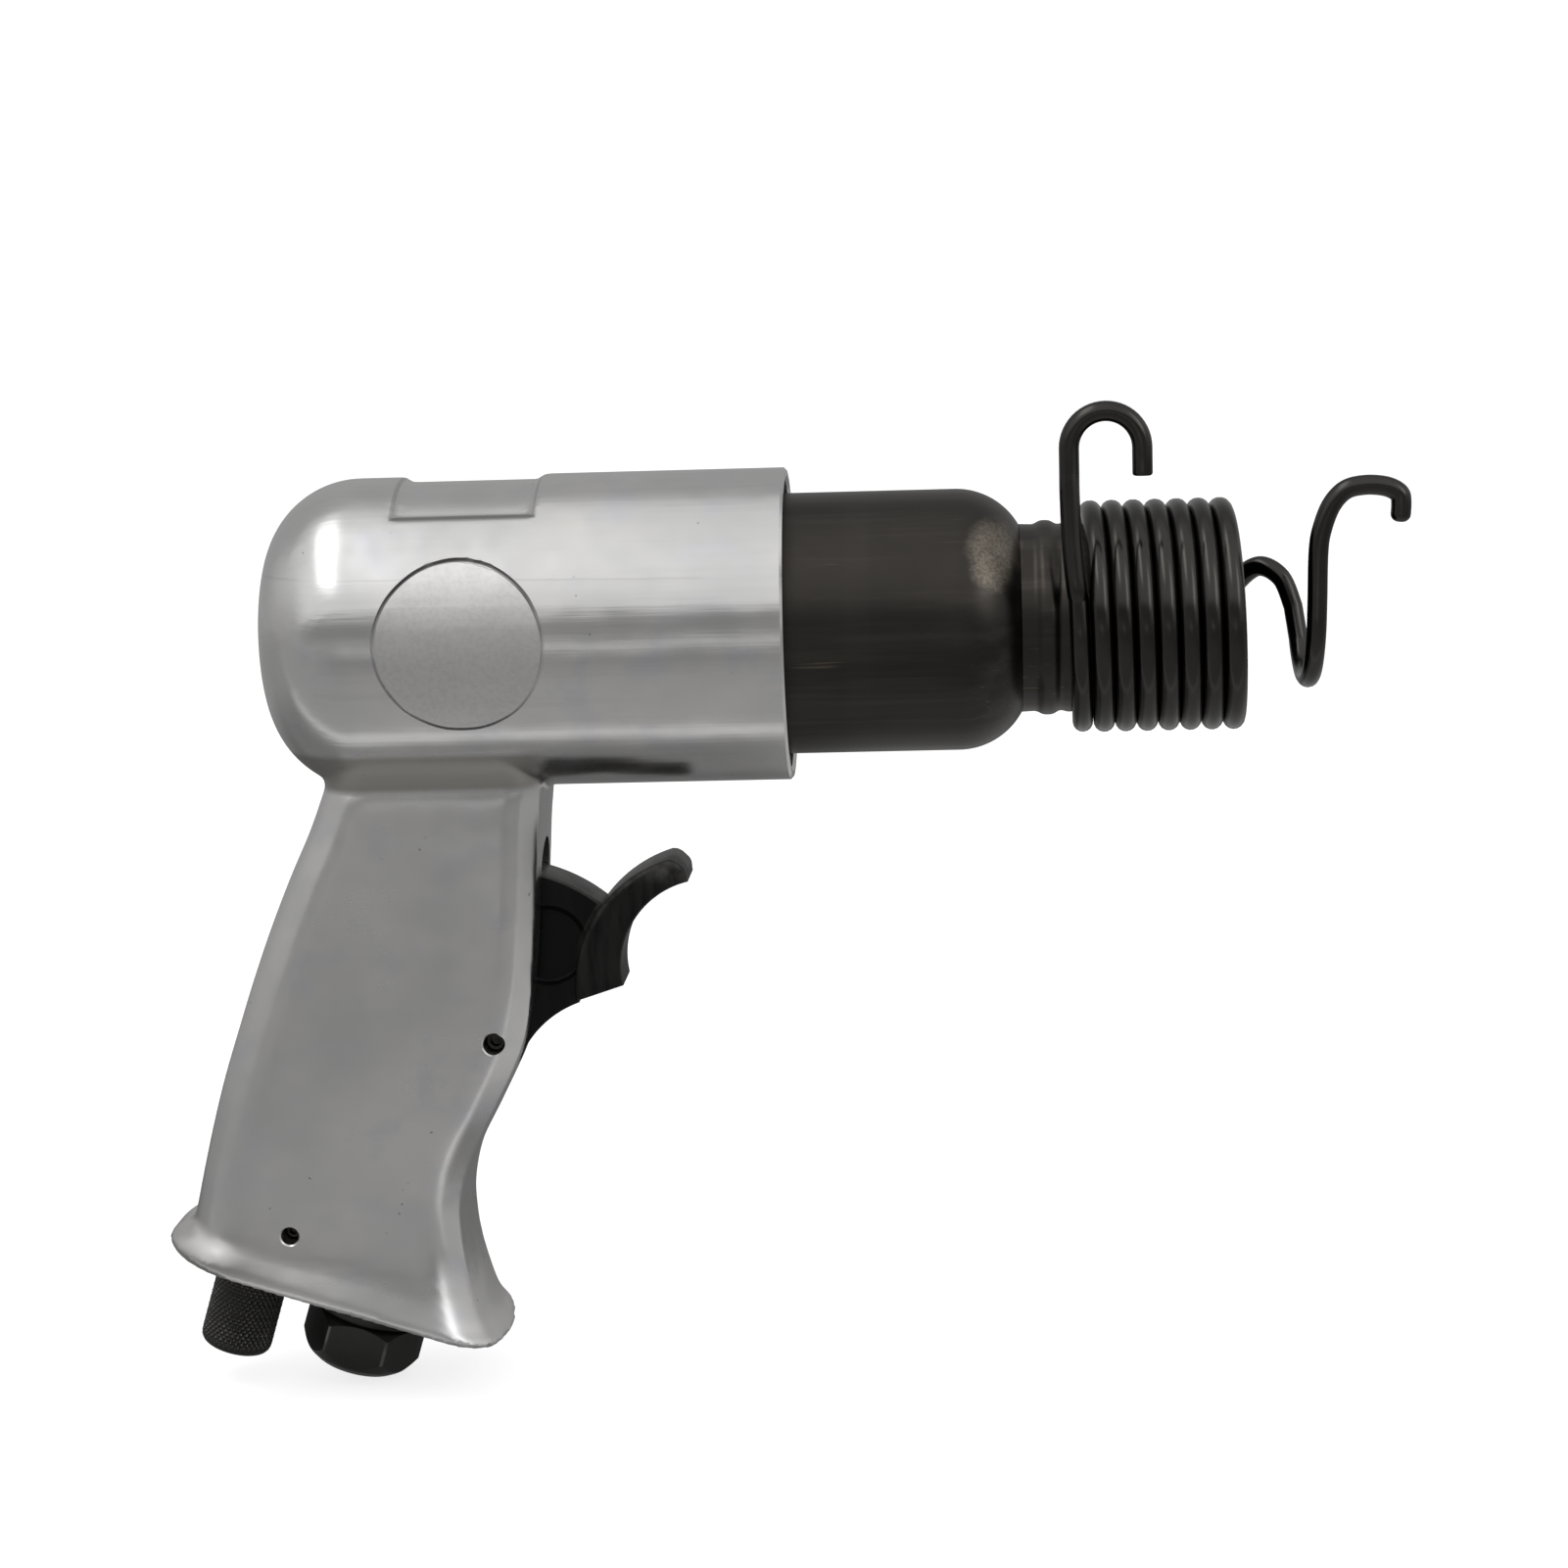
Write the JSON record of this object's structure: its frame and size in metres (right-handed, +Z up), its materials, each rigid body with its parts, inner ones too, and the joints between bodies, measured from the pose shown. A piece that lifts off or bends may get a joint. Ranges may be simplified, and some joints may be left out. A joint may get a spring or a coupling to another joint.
{
  "type": "pneumatic chisel",
  "caption": "Pistol grip air hammer: cast housing, steel barrel with piston and valve, hooked retainer spring round the shank bore, trigger throttle, regulator and air inlet in the foot.",
  "frame": {"origin": "centre of the barrel's nose face, at the mouth of the bore that takes the chisel's shank", "axes": "+X forward along the barrel, out of the shank bore; +Z up, away from the grip; the side with the round disc is -Y"},
  "size_m": [0.2105, 0.052, 0.1653],
  "materials": {
    "cast_aluminium": "brushed and polished casting",
    "dark_steel": "dark brown black, worn at the shoulder",
    "bright_steel": "ground",
    "black_spring_steel": "black oxide, satin",
    "black_trigger": "black, satin",
    "black_fittings": "black oxide, satin",
    "brass": "turned",
    "seal": "matte",
    "gasket": "matte"
  },
  "bodies": {
    "tool": {"housing": "cast_aluminium", "barrel": "dark_steel", "front_valve_block": "bright_steel", "rear_valve_block": "bright_steel", "valve_dowels": "bright_steel", "valve_gasket": "gasket", "trigger_pin": "bright_steel", "throttle_bush": "brass", "bush_seal": "seal", "throttle_spring": "bright_steel", "regulator_pin": "bright_steel", "inlet_bushing": "black_fittings", "inlet_seal": "seal", "inlet_strainer": "bright_steel"},
    "piston": {"piston": "bright_steel"},
    "valve_disc": {"valve_disc": "bright_steel"},
    "retainer_spring": {"retainer_spring": "black_spring_steel"},
    "trigger": {"trigger": "black_trigger"},
    "throttle": {"throttle_stem": "brass", "throttle_seal": "seal"},
    "regulator": {"regulator": "black_fittings", "regulator_seal": "seal"}
  },
  "joints": [
    {"name": "trigger_pull", "type": "hinge", "parent": "tool", "child": "trigger", "pos_m": [-0.1119, 0, -0.0677], "axis": [0, -1, 0], "range_deg": [0, 14], "stiffness_Nm_per_rad": 0.5, "springref_deg": -8.59},
    {"name": "throttle_slide", "type": "slide", "parent": "tool", "child": "throttle", "axis": [-0.9942, 0, 0.108], "range_m": [0, 0.0041], "deforming": ["throttle_spring"]},
    {"name": "piston_slide", "type": "slide", "parent": "tool", "child": "piston", "axis": [1, 0, 0], "range_m": [0, 0.0534]},
    {"name": "valve_disc_slide", "type": "slide", "parent": "tool", "child": "valve_disc", "axis": [1, 0, 0], "range_m": [0, 0.0011]},
    {"name": "retainer_unscrew", "type": "slide", "parent": "tool", "child": "retainer_spring", "axis": [1, 0, 0], "range_m": [0, 0.018]},
    {"name": "regulator_turn", "type": "hinge", "parent": "tool", "child": "regulator", "pos_m": [-0.15652, 0, -0.10758], "axis": [0.2979, 0, 0.9546], "continuous": true}
  ],
  "couplings": [
    {"joint": "throttle_slide", "follows": "trigger_pull", "m_per_rad": 0.016543}
  ]
}
